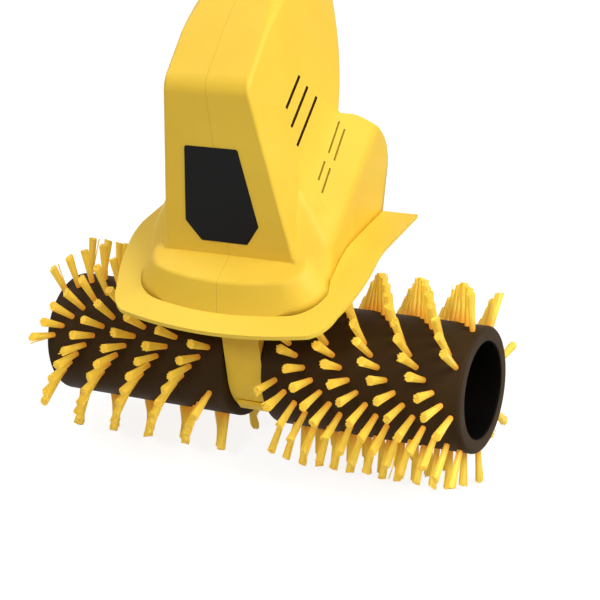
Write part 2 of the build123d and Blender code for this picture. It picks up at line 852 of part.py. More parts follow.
def rotor_core():
    radius = can_radius - can_wall - seat_gap - magnet_depth - air_gap
    return ring(motor_place, radius, rotor_shaft_radius + seat_gap, rotor_start, rotor_start + rotor_length)


def commutator():
    end = commutator_start + commutator_length
    return ring(motor_place, commutator_radius, rotor_shaft_radius + seat_gap, commutator_start, end)


def cooling_fan():
    """Disc with straight blades on its outer face."""
    fan = rod(motor_place, fan_radius, fan_start, fan_start + fan_disc)
    fan = fan + rod(motor_place, fan_hub, fan_start, fan_start + fan_height)
    blade = Pos(fan_radius / 2, 0) * Rectangle(fan_radius, fan_blade)
    blades = []
    for number in range(fan_blades):
        turned = Pos(*motor_place) * Rot(0, 0, 360.0 * number / fan_blades) * blade
        blades.append(along_x(turned, fan_start + fan_disc / 2, fan_start + fan_height))
    fan = (fan + blades) & rod(motor_place, fan_radius, fan_start, fan_start + fan_height)
    return fan - rod(motor_place, rotor_shaft_radius + seat_gap, fan_start, fan_start + fan_height)


# Handle socket


def handle_socket():
    """Cup that takes the handle tube, with a hole in its floor for the leads."""
    cup = neck_rod(socket_outer, socket_start, neck_end)
    cup = cup - neck_rod(socket_bore, socket_start + socket_floor, neck_end)
    return cup - neck_rod(lead_hole, socket_start, neck_end)


collar_half = neck_half + seat_gap + collar_wall


def collar_screw_holes(radius):
    middle = on_lean((collar_start + collar_end) / 2, neck_across)
    return Plane(origin=middle, z_dir=(1, 0, 0)) * Cylinder(radius, 4 * collar_half)


def neck_collar():
    """Band that holds the two halves of the neck together."""
    band = neck_prism(collar_half, neck_round + collar_wall, collar_start, collar_end)
    band = band - neck_prism(neck_half + seat_gap, neck_round + seat_gap, collar_start, collar_end)
    return band - collar_screw_holes(collar_screw_radius + seat_gap)


def collar_screws():
    middle = on_lean((collar_start + collar_end) / 2, neck_across)
    screws = []
    for side in (1, -1):
        plane = Plane(origin=middle + Vector(side * collar_half, 0, 0), z_dir=(side, 0, 0))
        head = Cylinder(collar_screw_head, collar_screw_head_depth, align=standing)
        shank = Cylinder(collar_screw_radius, collar_wall, align=hanging)
        screws.append(plane * (head + shank))
    return Compound(screws)


def house_screws():
    face = -house_screw_depth
    head = face - house_screw_head_depth
    screws = [
        screw_x(place, head, face, house_screw_reach, house_screw_head, house_screw_radius)
        for place in house_screw_places
    ]
    return Compound(screws)


def gearcase_screws():
    head = -leg_half
    face = -leg_half + case_screw_head_depth
    radii = (case_screw_head, case_screw_radius)
    return Compound([screw_x(place, head, face, case_screw_reach, *radii) for place in case_screw_places])


# All the pieces, by name


def all_pieces():
    pieces = {}
    both_halves = housing()
    pieces["housing_left"] = one_side(both_halves, -1)
    pieces["housing_right"] = one_side(both_halves, 1)
    pieces["brush_guard"] = guard()
    pieces["label_plate"] = label_plate()
    pieces["handle_socket"] = handle_socket()
    pieces["neck_collar"] = neck_collar()
    pieces["collar_screws"] = collar_screws()
    pieces["housing_screws"] = house_screws()
    pieces["guard_screws"] = guard_screws()
    pieces["gearcase_left"] = gearcase(-1)
    pieces["gearcase_right"] = gearcase(1)
    pieces["gearcase_screws"] = gearcase_screws()
    pieces["leg_clip"] = leg_clip()

    bearing_start = leg_half - boss_inner
    bearing_bore = axle_radius + running_gap
    bearing = ring(axle_place, bearing_radius, bearing_bore, bearing_start, bearing_start + bearing_width)
    seal = ring(axle_place, bearing_radius, bearing_bore, leg_half - seal_width, leg_half)
    pieces["axle_bearing_right"] = bearing
    pieces["axle_bearing_left"] = mirrored(bearing)
    pieces["axle_seal_right"] = seal
    pieces["axle_seal_left"] = mirrored(seal)

    pieces["idler_pin"] = rod(idler_place, shaft_radius, -leg_half, leg_half)
    bush_outer = shaft_radius + bush_wall
    bush_bore = shaft_radius + running_gap
    pieces["countershaft_bush_right"] = ring(counter_place, bush_outer, bush_bore, bush_right, leg_half)
    pieces["countershaft_bush_left"] = ring(counter_place, bush_outer, bush_bore, -leg_half, -bush_left)

    pieces["motor_can"] = motor_can()
    pieces["motor_magnets"] = motor_magnets()
    pieces["motor_end_cap"] = motor_end_cap()
    pieces["motor_bush_front"] = motor_bush(can_start + can_wall - motor_bush_length)
    pieces["motor_bush_rear"] = motor_bush(cap_end - motor_bush_length)
    pieces["motor_brushes"] = motor_brushes()
    pieces["motor_terminals"] = motor_terminals()
    pieces["motor_screws"] = motor_screws()

    pieces["axle"] = axle()
    bore = axle_radius + seat_gap
    pieces["axle_gear"] = gear(
        axle_place, axle_teeth, drive_module, axle_phase, bore, -drive_gear_half, drive_gear_half
    )
    hub = drive_hub()
    core = roller_core()
    pieces["drive_hub_right"] = hub
    pieces["drive_hub_left"] = mirrored(hub)
    pieces["roller_core_right"] = core
    pieces["roller_core_left"] = mirrored(core)
    pieces["drive_pins"] = drive_pins()
    pieces["end_washers"] = end_washers()
    pieces["end_screws"] = end_screws()
    for number in range(skin_slices):
        pieces[f"bristles_right_{number + 1}"] = bristle_slice(1, number)
        pieces[f"bristles_left_{number + 1}"] = bristle_slice(-1, number)

    bore = bush_outer + seat_gap
    pieces["idler_gear"] = gear(
        idler_place, idler_teeth, drive_module, idler_phase, bore, -drive_gear_half, drive_gear_half
    )
    pieces["idler_bush"] = ring(idler_place, bush_outer, bush_bore, -drive_gear_half, drive_gear_half)

    pieces["countershaft"] = rod(counter_place, shaft_radius, -leg_half, leg_half)
    bore = shaft_radius + seat_gap
    pieces["reduction_pinion"] = gear(
        counter_place, pinion_teeth, drive_module, pinion_phase, bore, -pinion_half, pinion_half
    )
    pieces["reduction_gear"] = gear(
        counter_place, reduction_teeth, motor_module, reduction_phase, bore,
        reduction_start, reduction_start + reduction_width,
    )

    pinion_start = reduction_start - end_play
    pieces["rotor_shaft"] = rod(motor_place, rotor_shaft_radius, pinion_start, shaft_end)
    pieces["rotor_core"] = rotor_core()
    pieces["commutator"] = commutator()
    bore = rotor_shaft_radius + seat_gap
    pieces["rotor_pinion"] = gear(
        motor_place, rotor_teeth, motor_module, rotor_phase, bore, pinion_start, bush_right
    )
    pieces["cooling_fan"] = cooling_fan()
    return pieces


os.makedirs("parts", exist_ok=True)
socket_mouth = on_lean(neck_end, neck_across)
to_socket_mouth = Pos(-socket_mouth.X, -socket_mouth.Y, -socket_mouth.Z)
for name, shape in all_pieces().items():
    export_step(to_socket_mouth * shape, f"parts/{name}.step")
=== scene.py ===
"""Powered brush head for artificial turf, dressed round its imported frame.

Lengths are metres. The frame's origin is the mouth of the handle socket, +X runs along the rollers
to the right of the photograph, +Y points back and +Z up.
"""
import json
from math import cos, radians, sin, tau

import bmesh
import bpy
import numpy as np
from mathutils import Matrix, Vector


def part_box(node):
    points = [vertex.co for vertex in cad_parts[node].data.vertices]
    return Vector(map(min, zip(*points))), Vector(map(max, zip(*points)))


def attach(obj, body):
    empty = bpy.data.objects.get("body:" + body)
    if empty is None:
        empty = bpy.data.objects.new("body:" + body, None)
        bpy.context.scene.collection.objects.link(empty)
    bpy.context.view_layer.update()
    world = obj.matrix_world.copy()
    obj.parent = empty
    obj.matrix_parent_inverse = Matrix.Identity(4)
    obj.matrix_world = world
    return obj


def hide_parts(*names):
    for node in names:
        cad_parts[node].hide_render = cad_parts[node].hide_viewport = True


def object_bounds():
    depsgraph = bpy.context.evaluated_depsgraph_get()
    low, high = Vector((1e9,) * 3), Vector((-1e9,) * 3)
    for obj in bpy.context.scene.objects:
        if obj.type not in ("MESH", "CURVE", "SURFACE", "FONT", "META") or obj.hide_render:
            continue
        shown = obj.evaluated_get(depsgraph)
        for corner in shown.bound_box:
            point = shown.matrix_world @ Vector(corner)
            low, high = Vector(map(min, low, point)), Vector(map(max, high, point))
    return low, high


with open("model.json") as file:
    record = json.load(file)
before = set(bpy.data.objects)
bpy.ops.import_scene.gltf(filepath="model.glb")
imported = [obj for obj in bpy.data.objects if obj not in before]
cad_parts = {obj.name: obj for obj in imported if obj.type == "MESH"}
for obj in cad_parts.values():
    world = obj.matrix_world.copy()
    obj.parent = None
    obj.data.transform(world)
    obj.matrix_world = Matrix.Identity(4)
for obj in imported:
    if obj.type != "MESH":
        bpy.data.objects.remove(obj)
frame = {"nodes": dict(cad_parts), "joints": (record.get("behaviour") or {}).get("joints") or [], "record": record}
cad_low, cad_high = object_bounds()

mm = 0.001

# Places that the frame gives
axle = Vector(frame["joints"][0]["pos_m"])
core_low, core_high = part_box("roller_core_right")
roller_start = core_low.x
roller_end = core_high.x
core_radius = (core_high.z - core_low.z) / 2

# Rollers
skin_radius = 46.8 * mm
bore_radius = 35.8 * mm
rim_round = 2.4 * mm
bore_round = 1.4 * mm
round_steps = 6
turn_steps = 128
sides = {"right": 1, "left": -1}

# Tufts, in helical rows that move out going down the front
row_count = 8
tufts_in_row = 20
tufts_per_turn = 36
tuft_step = 33.0 * mm * row_count / tufts_per_turn
outer_margin = 6.4 * mm
row_angle = {"right": radians(40.9), "left": radians(20.5)}
skin_slices = 4
slice_turn = radians(42.5)
tuft_reach = 30.7 * mm
tuft_anchor = 0.8 * mm
tuft_root = 1.8 * mm
tuft_tip = np.array([2.9, 3.4]) * mm    # half widths along the roller and round it
tuft_trim = 2.2 * mm        # of the cut tips, off the full reach
spread_power = 1.2
rod_rings = np.array([0.0, 0.35, 0.7, 1.0])
filaments = 60
filament_sides = 3
filament_radius = 0.6 * mm
filament_taper = 0.86
golden_turn = tau * 0.381966
heart_share = 0.95          # of the tuft's width, filled behind the outer filaments
heart_corners = 10
heart_tone = 0.7
cut_depth = 1.6 * mm        # from the tips down to the filled heart

# How far the tufts and their filaments differ
place_scatter = 0.03        # of the root's radius
lean_scatter = 0.5 * mm     # at the tip of a whole tuft
stray_scatter = 0.14 * mm   # at the tip of one filament
wild_share = 0.012          # of the filaments stray further
wild_more = 9
bend_scatter = 0.12 * mm
slant_scatter = 0.7 * mm    # of the cut across a tuft
cut_scatter = 0.3 * mm      # of the cut of one filament

# Moulded shells
merge_distance = 1e-6
flat_angle = radians(0.3)
sharp_angle = radians(32)
edge_segments = 2
housing_edge = 0.35 * mm
guard_edge = 1.1 * mm
leg_edge = 1.5 * mm
clip_edge = 0.6 * mm
label_edge = 0.25 * mm

# Lower side corners of the housing, where the flared front runs into the plinth and the bulge
blend_radius = 8.0 * mm
blend_samples = 8
blend_start = 46.0 * mm     # from the middle, where the blend fades in
blend_full = 58.0 * mm
blend_high = 178.0 * mm     # above the axle, where it fades out
blend_low = 162.0 * mm
blend_front = -8.0 * mm     # behind the axle, from where its upper end comes down
blend_back = 0.0 * mm
blend_drop = 36.0 * mm

# Line where the housing's halves meet
seam_half = 0.35 * mm
seam_shade = 0.2

# Vent slots, whose walls lie along and square to their own lean, and get painted shade, lighter on the bulge
slot_lean = radians(33.0)
slot_facing = 0.9999        # least cosine between a wall's facing and its way
slot_area = 200.0 * mm**2   # a wall of a slot is smaller than this
slot_inner = 34.0 * mm      # and lies further from the middle than this
tower_side = 52.0 * mm      # the tower's slots lie nearer the middle than this
bulge_slot_shade = 0.5

# Fine looks of the finishes, with scales in waves to the metre
noise_low, noise_high = 0.3, 0.7
cloud_scale = 14.0
mottle_scale = 60.0
mottle_spread = 0.05        # of the roughness, to each side
grain_scale = 1500.0
grain_depth = 0.1 * mm
# Painted shade from ambient occlusion: full where the share of open space round a point is below the first value,
# none above the second
painted_shade_reach = 6.0 * mm
painted_shade_full, painted_shade_clear = 0.18, 0.42    # share of open space round a point
streak_scale = 900.0
streak_spread = 0.06
streak_strength = 0.08
streak_depth = 0.05 * mm
fibre_scale = 300.0

# Colours of the painted shade in corners, creases, slots and bores; the yellow one also draws the seam line
yellow_painted_shade_and_seam = (0.035, 0.016, 0.001)
black_painted_shade = (0.002, 0.0015, 0.001)

# Plastic and rubber: deep and bright colour, roughness, strength of the grain, sheen, colour of the painted shade
moulded_finishes = {
    "housing_yellow": ((0.87, 0.550, 0.044), (0.91, 0.605, 0.055), 0.5, 0.12, 0.28, yellow_painted_shade_and_seam),
    "guard_yellow": ((0.87, 0.580, 0.054), (0.91, 0.635, 0.066), 0.5, 0.12, 0.28, yellow_painted_shade_and_seam),
    # The leg's yellow is the housing's plastic made brighter: painted light that lifts the leg out of the guard's
    # shade
    "leg_yellow": ((0.97, 0.620, 0.050), (1.00, 0.670, 0.060), 0.5, 0.12, 0.28, yellow_painted_shade_and_seam),
    "label_black": ((0.006, 0.006, 0.006), (0.009, 0.009, 0.009), 0.45, 0.03, 0.09, black_painted_shade),
    "dark_plastic": ((0.005, 0.004, 0.004), (0.010, 0.009, 0.008), 0.5, 0.2, 0.15, black_painted_shade),
    "roller_black": ((0.036, 0.020, 0.007), (0.049, 0.028, 0.011), 0.55, 0.2, 0.05, black_painted_shade),
    "seal_rubber": ((0.010, 0.010, 0.010), (0.020, 0.020, 0.020), 0.62, 0.3, 0.3, black_painted_shade),
}

# Metal: dark and light colour, roughness, how much finer the streaks are along each axis
metal_finishes = {
    "screw_steel": ((0.42, 0.42, 0.43), (0.62, 0.62, 0.63), 0.3, (1, 1, 1)),
    "shaft_steel": ((0.45, 0.45, 0.46), (0.64, 0.64, 0.65), 0.26, (8, 1, 1)),
    "gear_steel": ((0.34, 0.34, 0.35), (0.52, 0.52, 0.53), 0.34, (1, 4, 4)),
    "bronze": ((0.48, 0.27, 0.10), (0.66, 0.42, 0.18), 0.4, (1, 1, 1)),
    "rotor_iron": ((0.10, 0.10, 0.10), (0.22, 0.21, 0.21), 0.5, (12, 1, 1)),
}

# Bristle nylon
# The deeper amber at the root is painted shade, where the tufts crowd near the skin
nylon_root_painted_shade = (1.0, 0.47, 0.05)
nylon_tip = (1.0, 0.75, 0.10)
nylon_tip_start = 0.45      # share of the length from which a filament has the tip's colour
nylon_dull = (0.94, 0.88, 0.74)
# Painted light: a weak glow that lifts the filaments' shaded sides, for the light that comes through them
nylon_painted_glow = 0.13
nylon_sheen = 0.3
nylon_roughness = (0.34, 0.5)

# Floor and sky
white = (1.0, 1.0, 1.0)
floor_half = 12.0
floor_tone = (0.5, 0.5, 0.5)            # for the light that it throws back on the object
floor_shadow_tone = (0.3, 0.3, 0.3)     # for the eye, above an even glow
floor_glow = 0.86
sky_fill = 0.12

# Camera, fitted to the photograph's rollers, leg and guard
view_turn = radians(29.977)
view_rise = radians(27.287)
view_roll = radians(-7.289)
# Its place is from the axle, along the picture's right, up and back
view_place = Vector((22.95, 44.77, 1328.9)) * mm
view_lens = 103.94
view_sensor = 36.0

random = np.random.default_rng(31)


# Meshes


def put(name, data):
    """New object in the scene."""
    thing = bpy.data.objects.new(name, data)
    bpy.context.scene.collection.objects.link(thing)
    return thing


def new_piece(name, points, faces, marks, slot, nodes):
    """Closed mesh at the origin from points, faces and values marked on its points, which turns with
    the brush."""
    mesh = bpy.data.meshes.new(name)
    mesh.from_pydata(points.tolist(), [], faces)
    mesh.validate()
    for label, values in marks.items():
        layer = mesh.attributes.new(label, "FLOAT", "POINT")
        layer.data.foreach_set("value", values)
    face_out(mesh)
    dressed(name, mesh, "brush", slot, nodes)


def dressed(name, mesh, body, slot, nodes):
    """Object for a finished mesh, smooth but for its sharp edges, standing for its CAD nodes."""
    mesh.materials.clear()
    mesh.materials.append(materials[slot])
    mesh.polygons.foreach_set("use_smooth", np.ones(len(mesh.polygons), bool))
    mesh.set_sharp_from_angle(angle=sharp_angle)
    piece = put(name, mesh)
    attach(piece, body)
    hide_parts(*nodes)
    return piece


def rounded(corners):
    """Closed outline of right-angled corners (x, r, radius): each corner is a quarter circle about a
    centre that lies one radius in from both of its sides."""
    places = np.array([corner[:2] for corner in corners])
    before = np.roll(places, 1, axis=0) - places
    after = np.roll(places, -1, axis=0) - places
    before /= np.linalg.norm(before, axis=1, keepdims=True)
    after /= np.linalg.norm(after, axis=1, keepdims=True)
    outline = []
    for place, back, ahead, (_, _, radius) in zip(places, before, after, corners):
        turn = np.linspace(0, tau / 4, round_steps if radius else 1)[:, None]
        centre = place + radius * (back + ahead)
        outline.append(centre - radius * (ahead * np.cos(turn) + back * np.sin(turn)))
    return np.concatenate(outline)


def revolved(outline):
    """Ring about the axle: each point (x, r) of a closed outline goes round to (x, r cos a, r sin a)."""
    along, radius = outline.T
    angle = np.arange(turn_steps) * tau / turn_steps
    grid = np.empty((turn_steps, len(outline), 3))
    grid[..., 0] = along
    grid[..., 1] = np.cos(angle)[:, None] * radius
    grid[..., 2] = np.sin(angle)[:, None] * radius
    number = np.arange(turn_steps * len(outline)).reshape(turn_steps, -1)
    beside = np.roll(number, -1, axis=1)
    ahead = np.roll(number, -1, axis=0)
    across = np.roll(beside, -1, axis=0)
    faces = np.stack([number, ahead, across, beside], axis=-1).reshape(-1, 4)
    return grid.reshape(-1, 3) + np.array(axle), faces


def face_out(mesh):
    """Turn the faces of a closed mesh outwards."""
    build = bmesh.new()
    build.from_mesh(mesh)
    bmesh.ops.recalc_face_normals(build, faces=build.faces)
    build.to_mesh(mesh)
    build.free()


def mark_slots(mesh):
    """Mark the walls of the vent slots for painted shade, found by their place, their size and the
    way they face."""
    normals = np.empty(3 * len(mesh.polygons))
    centres = np.empty(3 * len(mesh.polygons))
    areas = np.empty(len(mesh.polygons))
    mesh.polygons.foreach_get("normal", normals)
    mesh.polygons.foreach_get("center", centres)
    mesh.polygons.foreach_get("area", areas)
    normals = normals.reshape(-1, 3)
    aside = np.abs(centres[::3])
    ways = np.array([(0, cos(slot_lean), sin(slot_lean)), (0, -sin(slot_lean), cos(slot_lean))])
    on_slot = np.abs(normals @ ways.T).max(axis=1) > slot_facing
    on_slot &= (aside > slot_inner) & (areas < slot_area)
    shade = np.where(aside < tower_side, 1.0, bulge_slot_shade)
    layer = mesh.attributes.new("painted_shade", "FLOAT", "FACE")
    layer.data.foreach_set("value", on_slot * shade)


def softened(name, node, width, slot):
    """CAD shell of the head as one merged mesh, with its flat triangles joined and its sharp edges
    rounded over."""
    mesh = frame["nodes"][node].data.copy()
    mesh.name = name
    build = bmesh.new()
    build.from_mesh(mesh)
    bmesh.ops.remove_doubles(build, verts=build.verts, dist=merge_distance)
    bmesh.ops.dissolve_limit(build, angle_limit=flat_angle, verts=build.verts, edges=build.edges)
    build.to_mesh(mesh)
    build.free()
    mark_slots(mesh)
    piece = dressed(name, mesh, "head", slot, [node])
    bevel = piece.modifiers.new("edge_round", "BEVEL")
    bevel.width = width
    bevel.segments = edge_segments
    bevel.limit_method = "ANGLE"
    bevel.angle_limit = sharp_angle
    shading = piece.modifiers.new("even_shading", "WEIGHTED_NORMAL")
    shading.keep_sharp = True


# Rollers


def slice_node(side, number):
    """CAD node of one quarter of a roller's bristles and skin."""
    return f"bristles_{side}_{number + 1}"


def roller_pieces(side):
    """Dark skin with rounded rims, and the tube inside it that shows round the open end."""
    inner, outer = sides[side] * roller_start, sides[side] * roller_end
    slices = [slice_node(side, number) for number in range(skin_slices)]
    skin = rounded([(inner, core_radius, 0), (inner, skin_radius, rim_round),
                    (outer, skin_radius, rim_round), (outer, core_radius, 0)])
    tube = rounded([(inner, bore_radius, bore_round), (inner, core_radius, 0),
                    (outer, core_radius, 0), (outer, bore_radius, bore_round)])
    for name, outline, nodes in ((f"roller_skin_{side}", skin, slices),
                                 (f"roller_tube_{side}", tube, [f"roller_core_{side}"])):
        points, faces = revolved(outline)
        # The inside of the bore is marked for painted shade, near black
        in_bore_painted_shade = np.tile(outline[:, 1] < bore_radius + bore_round / 2, turn_steps).astype(float)
        new_piece(name, points, faces.tolist(), {"painted_shade": in_bore_painted_shade}, "roller_black", nodes)


def tuft_places(side):
    """Place along the axle and angle of each tuft of one roller, a row going round as it goes in."""
    row, number = np.divmod(np.arange(row_count * tufts_in_row), tufts_in_row)
    place = sides[side] * (roller_end - outer_margin - number * tuft_step)
    angle = row_angle[side] + tau * row / row_count - tau * number / tufts_per_turn
    return place, angle % tau


def on_circle(angle):
    """Points of a circle of radius 1, (cos a, sin a)."""
    return np.stack([np.cos(angle), np.sin(angle)], axis=-1)


def placed(place, angle, local, height):
    """Closed rods from rings of points in each tuft's own frame: aside from its middle, along the roller
    and round it, at a height above the skin."""
    count, rods, rings, corners, _ = local.shape
    along = np.array([1.0, 0.0, 0.0])
    round_way = np.stack([0 * angle, -np.sin(angle), np.cos(angle)], axis=-1)[:, None, None, None]
    out_way = np.stack([0 * angle, np.cos(angle), np.sin(angle)], axis=-1)[:, None, None, None]
    foot = place[:, None, None, None, None] * along + out_way * skin_radius + np.array(axle)
    points = foot + local[..., :1] * along + local[..., 1:] * round_way
    points = points + height[..., None, None] * out_way
    number = np.arange(count * rods * rings * corners).reshape(-1, rings, corners)
    beside = np.roll(number, -1, axis=2)
    walls = np.stack([number[:, :-1], beside[:, :-1], beside[:, 1:], number[:, 1:]], axis=-1)
    caps = np.concatenate([number[:, 0, ::-1], number[:, -1]])
    return points.reshape(-1, 3), walls.reshape(-1, 4), caps


def filament_rods(count):
    """Three-sided filaments of each tuft, with their heights, their tones and the lean of the tufts.

    A filament starts in the root's disc, where filament n lies at radius sqrt(n) and n golden turns,
    and ends at that place spread to the tip's oval, with a little of its own: its sideways place at a
    share t of its length is root + (tip - root) t^1.2 + bend t^2, in the tuft's frame of roller
    length, turn and radius.
    """
    shape = (count, filaments)
    spin = random.uniform(0, tau, (count, 1)) + golden_turn * np.arange(filaments)
    reach = np.sqrt((np.arange(filaments) + 0.5) / filaments) + random.normal(0, place_scatter, shape)
    disc = on_circle(spin) * reach[..., None]
    root = disc * tuft_root
    lean = random.normal(0, lean_scatter, (count, 1, 2))
    stray = random.normal(0, stray_scatter, (*shape, 2))
    wild = (random.uniform(0, 1, shape) < wild_share)[..., None]
    tip = disc * tuft_tip + lean + stray * (1 + wild_more * wild)
    bend = random.normal(0, bend_scatter, (*shape, 2))
    slant = np.sum(disc * random.normal(0, slant_scatter, (count, 1, 2)), axis=-1)
    length = tuft_reach - tuft_trim - np.abs(random.normal(0, cut_scatter, shape)) + slant
    length = np.minimum(length, tuft_reach)
    tone = random.uniform(0, 1, shape)
    share = rod_rings[:, None]
    spread = (tip - root)[:, :, None] * share**spread_power
    aside = root[:, :, None] + spread + bend[:, :, None] * share**2
    height = -tuft_anchor + (length + tuft_anchor)[:, :, None] * rod_rings
    corner = spin[..., None] + (np.arange(filament_sides) + 0.5) * tau / filament_sides
    width = filament_radius * (1 - (1 - filament_taper) * rod_rings)
    local = aside[:, :, :, None] + on_circle(corner)[:, :, None] * width[:, None, None]
    return local, height, tone, lean


def heart_rods(lean):
    """Oval rod that fills each tuft behind its outer filaments, with its height: at a share t of its
    length it is as wide as root + (tip - root) t^1.2, and its middle lies at lean t^1.2."""
    corner = np.arange(heart_corners) * tau / heart_corners
    root, tip = heart_share * np.full(2, tuft_root), heart_share * tuft_tip
    share = rod_rings[:, None]**spread_power
    spread = root + (tip - root) * share
    local = lean[:, :, None, None] * share[:, None] + on_circle(corner) * spread[:, None]
    height = -tuft_anchor + (tuft_reach - tuft_trim - cut_depth + tuft_anchor) * rod_rings
    return local, np.broadcast_to(height, (len(lean), 1, len(height)))


def tuft_mesh(place, angle):
    """Tufts of filaments round a filled heart, marked with the tone and the share of the length."""
    local, height, tone, lean = filament_rods(len(place))
    points, walls, caps = placed(place, angle, local, height)
    heart_points, heart_walls, heart_caps = placed(place, angle, *heart_rods(lean))
    faces = walls.tolist() + caps.tolist()
    faces += (heart_walls + len(points)).tolist() + (heart_caps + len(points)).tolist()
    tones = [np.repeat(tone.ravel(), len(points) // tone.size), np.full(len(heart_points), heart_tone)]
    shares = [np.tile(np.repeat(rod_rings, filament_sides), tone.size),
              np.tile(np.repeat(rod_rings, heart_corners), len(place))]
    marks = {"tone": np.concatenate(tones), "along": np.concatenate(shares)}
    return np.concatenate([points, heart_points]), faces, marks


def tuft_pieces(side):
    """One piece for each quarter of a roller."""
    place, angle = tuft_places(side)
    start = row_angle[side] % (tau / tufts_per_turn / 2) + slice_turn
    quarter = ((angle - start) % tau // (tau / skin_slices)).astype(int)
    for number in range(skin_slices):
        chosen = quarter == number
        points, faces, marks = tuft_mesh(place[chosen], angle[chosen])
        new_piece(f"tufts_{side}_{number + 1}", points, faces, marks, "bristle_yellow",
                  [slice_node(side, number)])


# Materials


def feed(tree, node, **inputs):
    """Set inputs of a node, or link them where a socket is given."""
    for name, value in inputs.items():
        socket = node.inputs[name.replace("_", " ")]
        if isinstance(value, bpy.types.NodeSocket):
            tree.links.new(value, socket)
        else:
            socket.default_value = value


def add(tree, kind, **inputs):
    """New node with some of its inputs set or linked."""
    node = tree.nodes.new(f"ShaderNode{kind}")
    feed(tree, node, **inputs)
    return node


def new_material(name):
    """Material with a Principled shader alone, its tree and that shader."""
    material = bpy.data.materials.new(name)
    material.use_nodes = True
    tree = material.node_tree
    tree.nodes.clear()
    shader = add(tree, "BsdfPrincipled")
    add(tree, "OutputMaterial", Surface=shader.outputs["BSDF"])
    return material, tree, shader


def worked(tree, operation, *values):
    """Result of a sum on one value or two."""
    node = add(tree, "Math")
    node.operation = operation
    for socket, value in zip(node.inputs, values):
        tree.links.new(value, socket)
    return node.outputs["Value"]


def mapped(tree, value, start, end, low=0.0, high=1.0):
    """A value's range from start to end, spread from low to high and held there."""
    node = add(tree, "MapRange", Value=value, From_Min=start, From_Max=end, To_Min=low, To_Max=high)
    return node.outputs["Result"]


def noise(tree, scale, detail=3.0, stretch=(1, 1, 1)):
    """Noise on the object's own coordinates, finer along the axes that are stretched."""
    place = add(tree, "TexCoord").outputs["Object"]
    place = add(tree, "Mapping", Vector=place, Scale=stretch).outputs["Vector"]
    return add(tree, "TexNoise", Vector=place, Scale=scale, Detail=detail).outputs["Fac"]


def ranged(tree, value, low, high):
    """A noise value, which lies mostly in the middle of its range, spread over another range."""
    return mapped(tree, value, noise_low, noise_high, low, high)


def mixed(tree, share, low, high, blend="MIX"):
    """Colour between two colours, or sockets, by a share."""
    node = add(tree, "Mix")
    node.data_type = "RGBA"
    node.blend_type = blend
    colours = [socket for socket in node.inputs if socket.type == "RGBA"]
    for socket, value in zip((node.inputs[0], *colours), (share, low, high)):
        if isinstance(value, bpy.types.NodeSocket):
            tree.links.new(value, socket)
        elif isinstance(value, float):
            socket.default_value = value
        else:
            socket.default_value = (*value, 1)
    return node.outputs[2]


def ramped(tree, share, low, high, full=1.0):
    """Colour that goes from low to high as a share goes from 0 to full."""
    node = add(tree, "ValToRGB", Fac=share)
    start, end = node.color_ramp.elements
    start.color = (*low, 1)
    end.position = full
    end.color = (*high, 1)
    return node.outputs["Color"]


def mark(tree, name):
    """Value that a piece carries on its points or faces, or 0 on a piece without it."""
    node = add(tree, "Attribute")
    node.attribute_name = name
    return node.outputs["Fac"]


def aside_back_up(tree):
    """A point's distance from the middle plane, its place from front to back, and its height."""
    place = add(tree, "SeparateXYZ", Vector=add(tree, "TexCoord").outputs["Object"]).outputs
    return worked(tree, "ABSOLUTE", place["X"]), place["Y"], place["Z"]


def moulded(name, deep, bright, roughness, grain, sheen, painted_shade):
    """Moulded plastic: broad cloudy tone, finer mottling of the gloss, the tool's fine grain, and painted
    shade: a darker colour in corners, creases and gaps, and on faces marked for painted shade."""
    material, tree, shader = new_material(name)
    colour = mixed(tree, ranged(tree, noise(tree, cloud_scale), 0.0, 1.0), deep, bright)
    # Painted shade in corners, creases and gaps, from ambient occlusion
    open_share = add(tree, "AmbientOcclusion", Distance=painted_shade_reach).outputs["AO"]
    colour = mixed(tree, mapped(tree, open_share, painted_shade_full, painted_shade_clear), painted_shade, colour)
    # Painted shade on the faces marked for it: the vent slot walls and the roller bores
    colour = mixed(tree, mark(tree, "painted_shade"), colour, painted_shade)
    gloss = ranged(tree, noise(tree, mottle_scale), roughness - mottle_spread, roughness + mottle_spread)
    bump = add(tree, "Bump", Height=noise(tree, grain_scale, 2.0), Strength=grain, Distance=grain_depth)
    feed(tree, shader, Base_Color=colour, Specular_IOR_Level=sheen, Roughness=gloss,
         Normal=bump.outputs["Normal"])
    return material


def blended_corners(material):
    """Soft shading over the edges of the housing's lower side corners, up to a lower end at the back."""
    tree = material.node_tree
    aside, back, up = aside_back_up(tree)
    outward = mapped(tree, aside, blend_start, blend_full)
    drop = mapped(tree, back, axle.y + blend_front, axle.y + blend_back, 0.0, blend_drop)
    height = worked(tree, "ADD", up, drop)
    downward = mapped(tree, height, axle.z + blend_high, axle.z + blend_low)
    both = worked(tree, "MULTIPLY", outward, downward)
    soft = add(tree, "Bevel", Radius=mapped(tree, both, 0.0, 1.0, 0.0, blend_radius))
    soft.samples = blend_samples
    bump = next(node for node in tree.nodes if node.type == "BUMP")
    feed(tree, bump, Normal=soft.outputs["Normal"])


def seam_line(material, dark):
    """Darker line along the middle plane, where two halves meet."""
    tree = material.node_tree
    shader = next(node for node in tree.nodes if node.type == "BSDF_PRINCIPLED")
    colour = shader.inputs["Base Color"].links[0].from_socket
    aside, _, _ = aside_back_up(tree)
    near = mapped(tree, aside, seam_half, seam_half / 2, 0.0, seam_shade)
    feed(tree, shader, Base_Color=mixed(tree, near, colour, dark))


def metal(name, dark, light, roughness, stretch):
    """Worked metal: fine streaks along the turning or drawing, in tone and in gloss."""
    material, tree, shader = new_material(name)
    streak = noise(tree, streak_scale, 4.0, stretch)
    colour = mixed(tree, ranged(tree, streak, 0.0, 1.0), dark, light)
    gloss = ranged(tree, streak, roughness - streak_spread, roughness + streak_spread)
    bump = add(tree, "Bump", Height=streak, Strength=streak_strength, Distance=streak_depth)
    feed(tree, shader, Base_Color=colour, Roughness=gloss, Metallic=1.0, Normal=bump.outputs["Normal"])
    return material


